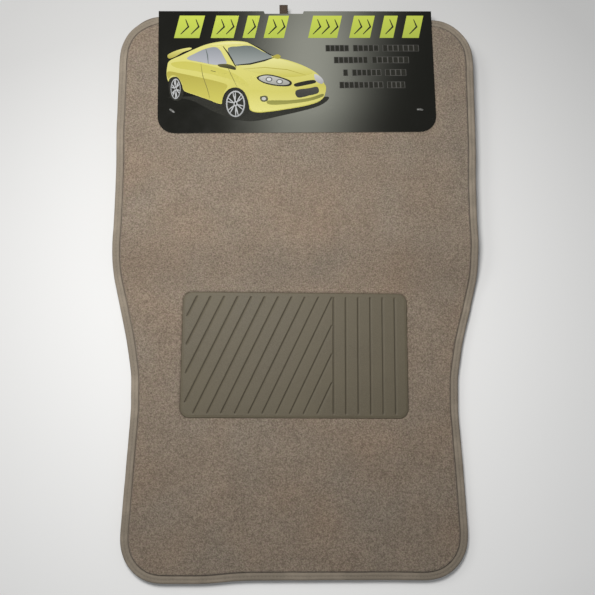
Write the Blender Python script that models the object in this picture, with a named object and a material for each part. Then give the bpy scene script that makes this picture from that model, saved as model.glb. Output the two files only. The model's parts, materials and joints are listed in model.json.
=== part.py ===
"""Retail pack of four bound carpet floor mats held in a folded header card.

Metres, +Z up. The pack lies flat on z = 0, X runs across the mats and +Y runs towards the
card's fold. The origin is the middle of the pack's footprint, from the foot edge of the front
mats to the tip of the hang loop.

Bottom to top under the card: tag pin bars, back panel, two rear mats, passenger mat, driver
mat, front panel. Past the foot edge of the rear mats the two front mats sag to the ground.
"""
import math

import bmesh
import bpy
from mathutils import Matrix, Vector

PACK_NAME = "floor_mat_set"
CUTTERS_NAME = "cutters"

# Clearance between neighbouring pieces.
GAP = 0.0003

# Front mats: half of the hourglass outline, as (half width, distance from the head edge,
# corner radius).
HEAD_Y = 0.3285
FRONT_HALF = [
    (0.2190, 0.0000, 0.0593),
    (0.2190, 0.3263, 0.1050),
    (0.1909, 0.4442, 0.2800),
    (0.1997, 0.6217, 0.1000),
    (0.1997, 0.6759, 0.0476),
]

# Rear mats: plain rounded rectangles.
REAR_WIDTH = 0.432
REAR_LENGTH = 0.279
REAR_CORNER = 0.045

# Layers of one mat, as heights above the underside of its own backing.
BACKING_THICK = 0.0023
CARPET_BASE = BACKING_THICK + GAP
MAT_THICK = 0.0060
TAPE_THICK = 0.0006
TAPE_WIDTH = 0.0089
TAPE_HEIGHT = 0.0049
TAPE_CHAMFER = 0.0007
EDGE_THICK = 0.0014
MAT_PITCH = MAT_THICK + GAP

# Lockstitch that holds the binding tape.
THREAD_RADIUS = 0.0002
THREAD_INSET = 0.0048

# Heel pad, welded into the pile of the driver mat.
PAD_WIDTH = 0.2679
PAD_LENGTH = 0.1479
PAD_CORNER = 0.011
PAD_HEAD_DISTANCE = 0.3463
PAD_SHIFT_X = -0.0010
PAD_THICK = 0.0021
PAD_SINK = 0.0015
GROOVE_WIDTH = 0.0026
GROOVE_DEPTH = 0.0009
GROOVE_MARGIN = 0.0045
GROOVE_END_STEPS = 2
STRAIGHT_PITCH = 0.0147
STRAIGHT_COUNT = 6
SLANT_PITCH = 0.0161
SLANT_ANGLE = math.radians(25.5)
DIVIDER_RIB = 0.0012

# Header card: one sheet with two creases, front panel over the mats, spine, back panel.
# It sits slightly askew; its places are measured from the middle of the fold.
CARD_WIDTH = 0.3390
CARD_LENGTH = 0.1575
CARD_THICK = 0.0005
CARD_CORNER = 0.0205
CARD_TURN = math.radians(1.39)
CARD_X = -0.0032
FOLD_Y = HEAD_Y + 0.0052
BACK_PANEL_Z = 0.0012
NOTCH_LEFT = -0.040
NOTCH_RIGHT = 0.010
NOTCH_IN_PANEL = 0.0034
NOTCH_IN_SPINE = 0.0164
NOTCH_TAPER = 0.0015

# Hang loop: a folded strip of woven tape that leaves through the notch.
LOOP_WIDTH = 0.0104
LOOP_TAPE = 0.0008
LOOP_HEIGHT = 0.0026
LOOP_X = (NOTCH_LEFT + NOTCH_RIGHT) / 2
LOOP_INSIDE = 0.0038
LOOP_OUTSIDE = 0.0141
LOOP_BELOW_FOLD = 0.0092

# Nylon tag pins.
PIN_LEFT_X = -0.1522
PIN_RIGHT_X = 0.1500
PIN_FOLD_DISTANCE = 0.1294
PIN_FILAMENT_RADIUS = 0.0003
PIN_BAR_RADIUS = 0.00045
PIN_BAR_LENGTH = 0.0080
PIN_HOLE_RADIUS = 0.0007
PIN_HEAD_LENGTH = 0.0080
PIN_HEAD_WIDTH = 0.0026
PIN_HEAD_THICK = 0.0008
PIN_HEAD_TURN_LEFT = math.radians(-33)
PIN_HEAD_TURN_RIGHT = math.radians(-5)

# Heights of the stack under the card.
REAR_LOW_Z = BACK_PANEL_Z + CARD_THICK + GAP
REAR_HIGH_Z = REAR_LOW_Z + MAT_PITCH
PASSENGER_Z = REAR_HIGH_Z + MAT_PITCH
DRIVER_Z = PASSENGER_Z + MAT_PITCH
FRONT_PANEL_Z = DRIVER_Z + MAT_THICK + GAP
CARD_TOP_Z = FRONT_PANEL_Z + CARD_THICK

# Sag of the front mats, which starts just past the rear mats' foot edge.
SAG_START = REAR_LENGTH + GAP
SAG_LENGTH = 0.066
SAG_STEPS = 6
SAG_DROP = PASSENGER_Z

ARC_STEP = math.radians(11)
WELD_DISTANCE = 0.000002

CARPET_COLOR = (0.260, 0.212, 0.165)
BACKING_COLOR = (0.055, 0.052, 0.048)
BINDING_COLOR = (0.190, 0.160, 0.108)
THREAD_COLOR = (0.150, 0.125, 0.085)
PAD_COLOR = (0.135, 0.120, 0.086)
CARD_COLOR = (0.016, 0.016, 0.014)
BOARD_COLOR = (0.480, 0.460, 0.420)
LOOP_COLOR = (0.070, 0.052, 0.035)
NYLON_COLOR = (0.560, 0.560, 0.540)


# ---------------------------------------------------------------- scene and materials

def clear_scene():
    for obj in list(bpy.data.objects):
        bpy.data.objects.remove(obj, do_unlink=True)


def collection_named(name):
    """The collection of that name, made on first use."""
    collection = bpy.data.collections.get(name)
    if collection is None:
        collection = bpy.data.collections.new(name)
        bpy.context.scene.collection.children.link(collection)
    return collection


def make_material(name, color, roughness):
    material = bpy.data.materials.new(name)
    material.use_nodes = True
    shader = material.node_tree.nodes["Principled BSDF"]
    shader.inputs["Base Color"].default_value = (*color, 1.0)
    shader.inputs["Roughness"].default_value = roughness
    shader.inputs["Metallic"].default_value = 0.0
    return material


# ---------------------------------------------------------------- outlines

def rounded_outline(corners):
    """Closed outline through (x, y, radius) corners, with an arc at each one."""
    outline = []
    count = len(corners)
    for index, (x, y, radius) in enumerate(corners):
        corner = Vector((x, y))
        before = Vector(corners[index - 1][:2]) - corner
        after = Vector(corners[(index + 1) % count][:2]) - corner
        if radius == 0:
            outline.append(corner)
            continue
        before.normalize()
        after.normalize()
        half_angle = before.angle(after) / 2
        middle = corner + (before + after).normalized() * (radius / math.sin(half_angle))
        start = corner + before * (radius / math.tan(half_angle)) - middle
        turn = math.pi - 2 * half_angle
        if before.x * after.y - before.y * after.x > 0:
            turn = -turn
        steps = max(2, math.ceil(abs(turn) / ARC_STEP))
        for step in range(steps + 1):
            angle = turn * step / steps
            outline.append(middle + Matrix.Rotation(angle, 2) @ start)
    return outline


def inset_outline(outline, distance):
    """The same counter-clockwise outline, moved inwards."""
    moved = []
    count = len(outline)
    for index, point in enumerate(outline):
        before = (point - outline[index - 1]).normalized()
        after = (outline[(index + 1) % count] - point).normalized()
        normal_before = Vector((-before.y, before.x))
        normal_after = Vector((-after.y, after.x))
        normal = (normal_before + normal_after).normalized()
        moved.append(point + normal * (distance / normal.dot(normal_after)))
    return moved


def front_mat_outline():
    right = [(x, HEAD_Y - distance, radius) for x, distance, radius in FRONT_HALF]
    left = [(-x, y, radius) for x, y, radius in right]
    return rounded_outline(left + right[::-1])


def rear_mat_outline():
    x = REAR_WIDTH / 2
    foot = HEAD_Y - REAR_LENGTH
    corners = [(-x, HEAD_Y), (-x, foot), (x, foot), (x, HEAD_Y)]
    return rounded_outline([(cx, cy, REAR_CORNER) for cx, cy in corners])


def rounded_rectangle(center, width, length, radius):
    x = width / 2
    y = length / 2
    corners = [(-x, -y), (x, -y), (x, y), (-x, y)]
    return rounded_outline([(center.x + cx, center.y + cy, radius) for cx, cy in corners])


def slot_outline(start, end, width, steps=4):
    """Closed outline of a slot with round ends of the given number of steps."""
    along = (end - start).normalized()
    side = Vector((-along.y, along.x)) * (width / 2)
    outline = []
    for middle, first in ((end, -side), (start, side)):
        for step in range(steps + 1):
            outline.append(middle + Matrix.Rotation(math.pi * step / steps, 2) @ first)
    return outline


# ---------------------------------------------------------------- solids

def replace_by_mesh(obj, material, collection):
    """Turns a curve, or an object with modifiers, into a welded mesh object."""
    evaluated = obj.evaluated_get(bpy.context.evaluated_depsgraph_get())
    mesh = bpy.data.meshes.new_from_object(evaluated)
    shape = bmesh.new()
    shape.from_mesh(mesh)
    bmesh.ops.remove_doubles(shape, verts=shape.verts, dist=WELD_DISTANCE)
    bmesh.ops.recalc_face_normals(shape, faces=shape.faces)
    shape.to_mesh(mesh)
    shape.free()
    name = obj.name
    place = obj.matrix_world.copy()
    bpy.data.objects.remove(obj, do_unlink=True)
    solid = bpy.data.objects.new(name, mesh)
    solid.matrix_world = place
    solid.data.materials.clear()
    solid.data.materials.append(material)
    collection_named(collection).objects.link(solid)
    return solid


def flat_curve(name, outlines):
    curve = bpy.data.curves.new(name, "CURVE")
    curve.dimensions = "2D"
    curve.fill_mode = "BOTH"
    for outline in outlines:
        spline = curve.splines.new("POLY")
        spline.points.add(len(outline) - 1)
        for point, place in zip(spline.points, outline):
            point.co = (place.x, place.y, 0.0, 1.0)
        spline.use_cyclic_u = True
    return curve


def plate(name, outlines, low, high, material, collection=PACK_NAME):
    """Flat solid between two heights, from one outline and any holes in it."""
    curve = flat_curve(name, outlines)
    curve.extrude = (high - low) / 2
    obj = bpy.data.objects.new(name, curve)
    obj.location.z = (low + high) / 2
    bpy.context.scene.collection.objects.link(obj)
    bpy.context.view_layer.update()
    return replace_by_mesh(obj, material, collection)


def combine(target, tool, operation, material):
    """Boolean of two mesh objects; the result keeps the target's name."""
    modifier = target.modifiers.new(operation.lower(), "BOOLEAN")
    modifier.operation = operation
    modifier.solver = "EXACT"
    modifier.object = tool
    bpy.context.view_layer.update()
    solid = replace_by_mesh(target, material, PACK_NAME)
    bpy.data.objects.remove(tool, do_unlink=True)
    return solid


def sag_at(y):
    """How far a front mat has come down at y, linear between the sag's stations."""
    along = (HEAD_Y - y - SAG_START) / SAG_LENGTH * SAG_STEPS
    along = min(max(along, 0.0), SAG_STEPS)
    station = min(int(along), SAG_STEPS - 1)
    low, high = [(3 - 2 * t) * t * t for t in (station / SAG_STEPS, (station + 1) / SAG_STEPS)]
    return SAG_DROP * (low + (high - low) * (along - station))


def apply_sag(obj):
    """Cuts a mesh at the sag's stations and lowers each vertex."""
    shape = bmesh.new()
    shape.from_mesh(obj.data)
    shape.transform(obj.matrix_world)
    for station in range(SAG_STEPS + 1):
        y = HEAD_Y - SAG_START - SAG_LENGTH * station / SAG_STEPS
        geometry = shape.verts[:] + shape.edges[:] + shape.faces[:]
        bmesh.ops.bisect_plane(shape, geom=geometry, dist=WELD_DISTANCE,
                               plane_co=(0.0, y, 0.0), plane_no=(0.0, 1.0, 0.0))
    bmesh.ops.triangulate(shape, faces=shape.faces)
    for vertex in shape.verts:
        vertex.co.z -= sag_at(vertex.co.y)
    shape.to_mesh(obj.data)
    shape.free()
    obj.matrix_world = Matrix.Identity(4)


# ---------------------------------------------------------------- card frame and pin holes

def card_frame(x, y, z):
    """Place of a card piece, x along the fold and y out of it, from the fold's middle."""
    fold = Matrix.Translation((CARD_X, FOLD_Y, z)) @ Matrix.Rotation(CARD_TURN, 4, "Z")
    return fold @ Matrix.Translation((x, y, 0.0))


def pin_places():
    return [card_frame(x, -PIN_FOLD_DISTANCE, 0.0).to_translation().to_2d()
            for x in (PIN_LEFT_X, PIN_RIGHT_X)]


def drill_pin_holes(obj, material):
    """Clearance holes for both pin filaments."""
    reach = Vector((0.0, PIN_HOLE_RADIUS / 10))
    holes = [slot_outline(place - reach, place + reach, 2 * PIN_HOLE_RADIUS)
             for place in pin_places()]
    tool = plate("pin_hole_cutter", holes, -MAT_THICK, 2 * CARD_TOP_Z, material, CUTTERS_NAME)
    return combine(obj, tool, "DIFFERENCE", material)


# ---------------------------------------------------------------- one mat

def make_backing(name, outline, base, material):
    """Rubber backing with a thin edge where the tape wraps under it."""
    rim = inset_outline(outline, TAPE_THICK + GAP)
    field = inset_outline(outline, TAPE_WIDTH + GAP)
    rim_low = base + BACKING_THICK - EDGE_THICK
    backing = plate(name, [rim], rim_low, base + BACKING_THICK, material)
    step = plate("step", [field], base, rim_low + EDGE_THICK / 2, material, CUTTERS_NAME)
    backing = combine(backing, step, "UNION", material)
    return drill_pin_holes(backing, material)


def make_carpet(name, outline, base, material):
    """Carpet with its pile pressed down where the tape covers it."""
    rim = inset_outline(outline, TAPE_THICK + GAP)
    field = inset_outline(outline, TAPE_WIDTH + GAP)
    rim_low = base + CARPET_BASE
    carpet = plate(name, [rim], rim_low, rim_low + EDGE_THICK, material)
    pile = plate("pile", [field], rim_low + EDGE_THICK / 2, base + MAT_THICK, material,
                 CUTTERS_NAME)
    carpet = combine(carpet, pile, "UNION", material)
    return drill_pin_holes(carpet, material)


def tape_section():
    """U section of the binding tape as (distance inwards, height) points."""
    inner = TAPE_HEIGHT - TAPE_THICK
    return [
        (TAPE_WIDTH, 0.0),
        (TAPE_CHAMFER, 0.0),
        (0.0, TAPE_CHAMFER),
        (0.0, TAPE_HEIGHT - TAPE_CHAMFER),
        (TAPE_CHAMFER, TAPE_HEIGHT),
        (TAPE_WIDTH, TAPE_HEIGHT),
        (TAPE_WIDTH, inner),
        (TAPE_THICK, inner),
        (TAPE_THICK, TAPE_THICK),
        (TAPE_WIDTH, TAPE_THICK),
    ]


def make_binding(name, outline, base, material):
    """Binding tape folded round the edge, a U section swept along the outline."""
    points = [Vector(point) for point in tape_section()]
    section = bpy.data.objects.new("tape_section", flat_curve("tape_section", [points]))
    collection_named(CUTTERS_NAME).objects.link(section)
    curve = flat_curve(name, [outline])
    curve.fill_mode = "NONE"
    curve.bevel_mode = "OBJECT"
    curve.bevel_object = section
    obj = bpy.data.objects.new(name, curve)
    obj.location.z = base
    bpy.context.scene.collection.objects.link(obj)
    bpy.context.view_layer.update()
    binding = replace_by_mesh(obj, material, PACK_NAME)
    bpy.data.objects.remove(section, do_unlink=True)
    return binding


def make_stitching(name, outline, base, material):
    """Top thread of the lockstitch, one closed loop along the tape."""
    curve = flat_curve(name, [inset_outline(outline, THREAD_INSET)])
    curve.fill_mode = "NONE"
    curve.bevel_depth = THREAD_RADIUS
    curve.bevel_resolution = 1
    obj = bpy.data.objects.new(name, curve)
    obj.location.z = base + TAPE_HEIGHT + GAP + THREAD_RADIUS
    bpy.context.scene.collection.objects.link(obj)
    bpy.context.view_layer.update()
    stitching = replace_by_mesh(obj, material, PACK_NAME)
    stitching.data.shade_smooth()
    return stitching


def make_mat(prefix, outline, base, materials):
    """The four sewn layers of one mat, lying flat."""
    return [
        make_backing(prefix + "_backing", outline, base, materials["backing"]),
        make_carpet(prefix + "_carpet", outline, base, materials["carpet"]),
        make_binding(prefix + "_binding", outline, base, materials["binding"]),
        make_stitching(prefix + "_stitching", outline, base, materials["thread"]),
    ]


def make_passenger_mat(materials):
    for piece in make_mat("passenger_mat", front_mat_outline(), PASSENGER_Z, materials):
        apply_sag(piece)


def make_driver_mat(materials):
    """A front mat whose pile has a bed pressed into it for the heel pad."""
    backing, carpet, binding, stitching = make_mat(
        "driver_mat", front_mat_outline(), DRIVER_Z, materials)
    bed = rounded_rectangle(pad_center(), PAD_WIDTH + 2 * GAP, PAD_LENGTH + 2 * GAP,
                            PAD_CORNER + GAP)
    floor = DRIVER_Z + MAT_THICK - PAD_SINK
    tool = plate("bed_cutter", [bed], floor, floor + MAT_THICK, materials["carpet"],
                 CUTTERS_NAME)
    carpet = combine(carpet, tool, "DIFFERENCE", materials["carpet"])
    for piece in (backing, carpet, binding, stitching):
        apply_sag(piece)


# ---------------------------------------------------------------- heel pad

def pad_center():
    return Vector((PAD_SHIFT_X, HEAD_Y - PAD_HEAD_DISTANCE - PAD_LENGTH / 2))


def slanting_groove(top_x, left, right, reach):
    """Ends of a slanting groove, kept between x = left and x = right, or None."""
    slope = math.tan(SLANT_ANGLE)
    high = min(reach, reach - (top_x - right) / slope)
    low = max(-reach, reach - (top_x - left) / slope)
    if high - low < 2 * GROOVE_WIDTH:
        return None
    return [Vector((top_x - (reach - y) * slope, y)) for y in (low, high)]


def groove_outlines(center):
    """Straight grooves on the right part of the pad, slanting ones on the rest."""
    half_width = PAD_WIDTH / 2
    reach = PAD_LENGTH / 2 - GROOVE_MARGIN - GROOVE_WIDTH / 2
    lines = []
    for index in range(1, STRAIGHT_COUNT + 1):
        x = half_width - index * STRAIGHT_PITCH
        lines.append([Vector((x, -reach)), Vector((x, reach))])
    divider = half_width - STRAIGHT_COUNT * STRAIGHT_PITCH
    right = divider - GROOVE_WIDTH - DIVIDER_RIB
    left = -half_width + GROOVE_MARGIN + GROOVE_WIDTH / 2
    overhang = 2 * reach * math.tan(SLANT_ANGLE)
    top_x = right + overhang // SLANT_PITCH * SLANT_PITCH
    while top_x > left:
        line = slanting_groove(top_x, left, right, reach)
        if line:
            lines.append(line)
        top_x -= SLANT_PITCH
    return [slot_outline(center + start, center + end, GROOVE_WIDTH, GROOVE_END_STEPS)
            for start, end in lines]


def make_heel_pad(material):
    """Moulded pad with grooves in its top face."""
    low = DRIVER_Z + MAT_THICK - PAD_SINK + GAP
    high = low + PAD_THICK
    outline = rounded_rectangle(pad_center(), PAD_WIDTH, PAD_LENGTH, PAD_CORNER)
    pad = plate("driver_mat_heel_pad", [outline], low, high, material)
    tool = plate("groove_cutter", groove_outlines(pad_center()), high - GROOVE_DEPTH,
                 high + PAD_THICK, material, CUTTERS_NAME)
    pad = combine(pad, tool, "DIFFERENCE", material)
    apply_sag(pad)


# ---------------------------------------------------------------- header card

def notch_points(depth, level):
    """Corners of the hang notch, right to left, cut down from a level edge."""
    return [
        Vector((NOTCH_RIGHT, level)),
        Vector((NOTCH_RIGHT - NOTCH_TAPER, level - depth)),
        Vector((NOTCH_LEFT + NOTCH_TAPER, level - depth)),
        Vector((NOTCH_LEFT, level)),
    ]


def panel_outline(notch):
    """Front or back panel, measured from the crease on the line y = 0."""
    x = CARD_WIDTH / 2
    edge = -CARD_THICK - GAP
    corners = [(-x, edge, 0), (-x, -CARD_LENGTH, CARD_CORNER), (x, -CARD_LENGTH, CARD_CORNER),
               (x, edge, 0)]
    return rounded_outline(corners) + notch


def make_panel(name, notch, low, high, crease_z, material):
    """Panel with its origin on its crease."""
    panel = plate(name, [panel_outline(notch)], low, high, material)
    panel.data.transform(panel.matrix_world)
    panel.matrix_world = card_frame(0.0, 0.0, crease_z)
    bpy.context.view_layer.update()
    return drill_pin_holes(panel, material)


def make_spine(material):
    """Spine panel, drawn flat as (x, height above its crease) and stood up."""
    x = CARD_WIDTH / 2
    height = CARD_TOP_Z - BACK_PANEL_Z - CARD_THICK
    outline = [Vector((-x, GAP)), Vector((x, GAP)), Vector((x, height))]
    outline += notch_points(NOTCH_IN_SPINE, height)
    outline.append(Vector((-x, height)))
    spine = plate("header_card_spine", [outline], 0.0, CARD_THICK, material)
    spine.data.transform(spine.matrix_world)
    upright = Matrix.Rotation(math.radians(90), 4, "X")
    spine.matrix_world = card_frame(0.0, 0.0, BACK_PANEL_Z) @ upright


def make_hang_loop(material):
    """Folded tape, a flat ring seen from the side, with its origin on the swing axis."""
    radius = LOOP_HEIGHT / 2
    start = Vector((radius - LOOP_INSIDE, 0.0))
    end = Vector((LOOP_OUTSIDE - radius, 0.0))
    rings = [slot_outline(start, end, LOOP_HEIGHT),
             slot_outline(start, end, LOOP_HEIGHT - 2 * LOOP_TAPE)]
    loop = plate("hang_loop", rings, -LOOP_WIDTH / 2, LOOP_WIDTH / 2, material)
    loop.data.transform(loop.matrix_world)
    along_fold = Matrix.Rotation(math.radians(90), 4, "Z")
    on_edge = Matrix.Rotation(math.radians(90), 4, "X")
    place = card_frame(LOOP_X, 0.0, CARD_TOP_Z - LOOP_BELOW_FOLD)
    loop.matrix_world = place @ along_fold @ on_edge


# ---------------------------------------------------------------- tag pins

def make_pin(name, place, material):
    """Filament with the cross bar that holds it behind the back panel."""
    reach = Vector((PIN_BAR_LENGTH / 2 - PIN_BAR_RADIUS, 0.0))
    outline = slot_outline(-reach, reach, 2 * PIN_BAR_RADIUS)
    bar = plate(name, [outline], 0.0, 2 * PIN_BAR_RADIUS, material)
    bottom = PIN_BAR_RADIUS
    top = CARD_TOP_Z - CARD_THICK / 2
    bpy.ops.mesh.primitive_cylinder_add(
        vertices=8, radius=PIN_FILAMENT_RADIUS, depth=top - bottom,
        location=(0.0, 0.0, (top + bottom) / 2))
    pin = combine(bar, bpy.context.object, "UNION", material)
    pin.location.x = place.x
    pin.location.y = place.y


def make_pin_head(name, place, turn, material):
    """Paddle that lies on the front panel."""
    reach = Vector(((PIN_HEAD_LENGTH - PIN_HEAD_WIDTH) / 2, 0.0))
    outline = slot_outline(-reach, reach, PIN_HEAD_WIDTH)
    head = plate(name, [outline], CARD_TOP_Z + GAP, CARD_TOP_Z + GAP + PIN_HEAD_THICK, material)
    head.rotation_euler.z = turn
    head.location.x = place.x
    head.location.y = place.y


# ---------------------------------------------------------------- the pack

def make_materials():
    return {
        "carpet": make_material("carpet", CARPET_COLOR, 0.95),
        "backing": make_material("backing", BACKING_COLOR, 0.70),
        "binding": make_material("binding", BINDING_COLOR, 0.85),
        "thread": make_material("thread", THREAD_COLOR, 0.70),
        "pad": make_material("heel_pad", PAD_COLOR, 0.45),
        "card": make_material("printed_card", CARD_COLOR, 0.25),
        "board": make_material("plain_board", BOARD_COLOR, 0.80),
        "loop": make_material("hang_tape", LOOP_COLOR, 0.90),
        "nylon": make_material("nylon", NYLON_COLOR, 0.35),
    }


def main():
    clear_scene()
    materials = make_materials()

    make_mat("rear_right_mat", rear_mat_outline(), REAR_LOW_Z, materials)
    make_mat("rear_left_mat", rear_mat_outline(), REAR_HIGH_Z, materials)
    make_passenger_mat(materials)
    make_driver_mat(materials)
    make_heel_pad(materials["pad"])

    make_panel("header_card_back", [], 0.0, CARD_THICK, BACK_PANEL_Z, materials["board"])
    make_spine(materials["card"])
    notch = notch_points(NOTCH_IN_PANEL, -CARD_THICK - GAP)
    make_panel("header_card_front", notch, -CARD_THICK, 0.0, CARD_TOP_Z, materials["card"])
    make_hang_loop(materials["loop"])

    left, right = pin_places()
    make_pin("tag_pin_left", left, materials["nylon"])
    make_pin("tag_pin_right", right, materials["nylon"])
    make_pin_head("tag_pin_head_left", left, PIN_HEAD_TURN_LEFT, materials["nylon"])
    make_pin_head("tag_pin_head_right", right, PIN_HEAD_TURN_RIGHT, materials["nylon"])
    bpy.context.view_layer.update()


main()
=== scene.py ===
"""Looks for the floor mat pack: pile, bound tape, stitches, nibbed backing, moulded heel pad,
printed header card, hang loop and tag pins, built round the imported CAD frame.

Metres, +Z up, in the frame's own coordinates. Sizes and places come from the frame's nodes and
joints; the constants below only describe surface detail.
"""
import json
import math

import bmesh
import bpy
import numpy as np
from mathutils import Matrix, Vector
from mathutils.geometry import tessellate_polygon


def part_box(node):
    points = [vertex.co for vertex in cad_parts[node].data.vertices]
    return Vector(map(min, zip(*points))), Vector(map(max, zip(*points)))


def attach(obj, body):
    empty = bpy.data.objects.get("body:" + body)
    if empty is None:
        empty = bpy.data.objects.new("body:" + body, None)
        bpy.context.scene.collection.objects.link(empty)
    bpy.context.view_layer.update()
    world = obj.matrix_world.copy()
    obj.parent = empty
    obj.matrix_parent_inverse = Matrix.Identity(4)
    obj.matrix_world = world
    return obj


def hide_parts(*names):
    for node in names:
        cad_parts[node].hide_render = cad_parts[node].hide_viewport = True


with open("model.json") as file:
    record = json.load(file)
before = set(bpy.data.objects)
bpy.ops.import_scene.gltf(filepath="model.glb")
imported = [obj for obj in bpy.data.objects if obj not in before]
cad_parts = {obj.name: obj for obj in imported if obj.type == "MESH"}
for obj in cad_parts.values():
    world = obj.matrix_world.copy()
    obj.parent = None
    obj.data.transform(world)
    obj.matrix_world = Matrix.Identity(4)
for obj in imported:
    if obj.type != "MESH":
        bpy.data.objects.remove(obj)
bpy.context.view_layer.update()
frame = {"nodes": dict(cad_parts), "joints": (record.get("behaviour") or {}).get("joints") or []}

MM = 0.001

# Outlines read from the frame, resampled and relaxed so that no facet shows.
OUTLINE_STEP = 0.0014
RELAX_PASSES = 26
FORM_PASSES = 20

# Pile of the carpets, heights above a mat's own underside.
PILE_HEIGHT = 0.0061
PILE_UNDER_TAPE = 0.0036
PILE_BOTTOM = 0.0026
PILE_EDGE_INSET = 0.0040
PILE_RISE_START = 0.0088
PILE_RISE_END = 0.0108
PILE_LIP = 0.0003
PILE_LIP_INSET = 0.0124
PILE_LIP_WIDTH = 0.0016
TUFT_RELIEF = 0.00022

# Unevenness of the pile: (size of a feature, squeeze along y, height).
PILE_LAYERS = [(0.0045, 1.0, 0.00016), (0.014, 0.45, 0.00018), (0.070, 1.0, 0.00030)]

# Grid of the pile: (spacing near the edge, spacing in the field), and the edge's width.
SHOWN_GRID = (0.0009, 0.0019)
HIDDEN_GRID = (0.0012, 0.0028)
FINE_BORDER = 0.020

# Pile under and beside the heel pad, and pressed down by the card.
BED_DEPTH = 0.0024
BED_ROLL = 0.00035
BED_ROLL_PLACE = 0.0028
BED_ROLL_WIDTH = 0.0018
PRESSED_GAP = 0.0002
PRESSED_BORDER = 0.006
PRESSED_LIFT = 0.004

# Binding tape.
TAPE_WIDTH = 0.0088
TAPE_HEIGHT = 0.0049
TAPE_HALF = 0.0003
TAPE_FOLD_RADIUS = TAPE_HEIGHT / 2 - TAPE_HALF
TAPE_WANDER = 0.00022
TAPE_BULGE = 0.00010
CROWN_HEIGHT = 0.00012
CROWN_INSETS = (0.0032, 0.0066)
CROWN_WIDTH = 0.0010
PUCKER_HEIGHT = 0.00022
PUCKER_PITCH = 0.0056
PUCKER_BEND = 0.05
EDGE_SINK = 0.00045
EDGE_SINK_START = 0.0074
STITCH_PULL = 0.00020
STITCH_RIPPLE = 0.00008
STITCH_INSET = 0.0048
STITCH_PITCH = 3 * OUTLINE_STEP
STITCH_LENGTH = 0.0033
THREAD_RADIUS = 0.00024
THREAD_SIDES = 6

# One bead of thread: (share of its length, share of the thread's radius).
BEAD_PROFILE = [(0.0, 0.35), (0.12, 0.8), (0.3, 1.0), (0.5, 1.0), (0.7, 1.0), (0.88, 0.8),
                (1.0, 0.35)]

# Backing.
SHEET_LOW = 0.0012
SHEET_HIGH = 0.0024
NIB_PITCH = 0.0090
NIB_MARGIN = 0.012
NIB_LEVELS = [(0.0007, 0.0001), (0.0013, SHEET_LOW + 0.0003)]  # (radius, height)

# Heel pad.
PAD_CORNER = 0.011
PAD_RIM = 0.0030
PAD_RIM_DROP = 0.00025
PAD_EDGE_RADIUS = 0.0010
PAD_EDGE_DROP = 0.0009
GROOVE_HALF = 0.0013
GROOVE_DEPTH = 0.00105
GROOVE_MARGIN = 0.0045
STEEP_SIDE = (0.30 * GROOVE_HALF, 0.90 * GROOVE_HALF)
GENTLE_SIDE = (-0.20 * GROOVE_HALF, 1.40 * GROOVE_HALF)
PAD_LAYERS = [(0.030, 0.00010, 91), (0.006, 0.00003, 92)]  # (size of a feature, height, seed)
STRAIGHT_PITCH = 0.0147
STRAIGHT_COUNT = 6
SLANT_PITCH = 0.0161
SLANT_ANGLE = math.radians(25.5)
DIVIDER_GAP = 0.0022

# Unevenness of the top mat's edge as it lies: (share of the half width, share of the length
# from the foot, reach, distance outwards).
EDGE_SETTLING = [
    (-0.62, 0.00, 0.060, 0.0036),
    (-1.00, 0.66, 0.060, -0.0017),
    (1.00, 0.66, 0.045, -0.0012),
    (0.92, 0.49, 0.040, 0.0009),
    (0.92, 0.10, 0.090, 0.0011),
    (-0.92, 0.16, 0.120, -0.0009),
    (0.93, 0.98, 0.035, 0.0026),
    (-0.74, 1.00, 0.042, -0.0026),
]

# Header card.
CARD_THICK = 0.0005
CARD_CORNER = 0.0205
CARD_GRID = 0.007
CARD_WAVE = 0.00022
CARD_LIFT = 0.0005
CARD_REST = 0.0001
NOTCH_LEFT = -0.040
NOTCH_RIGHT = 0.010
NOTCH_IN_PANEL = 0.0034
NOTCH_IN_SPINE = 0.0164
NOTCH_TAPER = 0.0015
INK_LIFT = 0.00006

# Camera: nearly straight above the pack, a little to its foot and left.
CAMERA_PLACE = (-0.0194, -0.1104, 0.7256)
CAMERA_TURN = (0.1212, -0.0300, 0.0060)
SENSOR_WIDTH = 36.0
CAMERA_LENS = 36.3

# World strength as a light, and as the backdrop that the camera sees.
WORLD_LIGHT = 0.26
WORLD_SEEN = 0.80

# Lights: (name, place, target, diameter, power, colour).
LIGHTS = [
    ("key", (-0.90, 0.60, 1.00), (0.0, 0.0, 0.0), 0.5, 3.5, (1.0, 0.985, 0.96)),
    ("near", (-0.12, 0.14, 0.72), (-0.12, 0.14, 0.0), 0.25, 5.7, (1.0, 0.99, 0.975)),
]


# ---------------------------------------------------------------- numbers and fields

def smoothstep(low, high, value):
    """0 below low, 1 above high, smooth between; low may be the larger."""
    t = np.clip((value - low) / (high - low), 0.0, 1.0)
    return t * t * (3 - 2 * t)


def value_noise(x, y, cell, seed):
    """Smooth random field between -1 and 1 whose features are about one cell wide."""
    size = 256
    table = np.random.default_rng(seed).uniform(-1, 1, (size, size))
    cell_x = np.floor(x / cell).astype(int)
    cell_y = np.floor(y / cell).astype(int)
    fx = smoothstep(0, 1, x / cell - cell_x)
    fy = smoothstep(0, 1, y / cell - cell_y)
    low = table[cell_x % size, cell_y % size] * (1 - fx)
    low += table[(cell_x + 1) % size, cell_y % size] * fx
    high = table[cell_x % size, (cell_y + 1) % size] * (1 - fx)
    high += table[(cell_x + 1) % size, (cell_y + 1) % size] * fx
    return low * (1 - fy) + high * fy


def ridge(value, middle, width):
    """Bell curve of height 1 about a middle."""
    return np.exp(-((value - middle) / width) ** 2)


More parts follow.
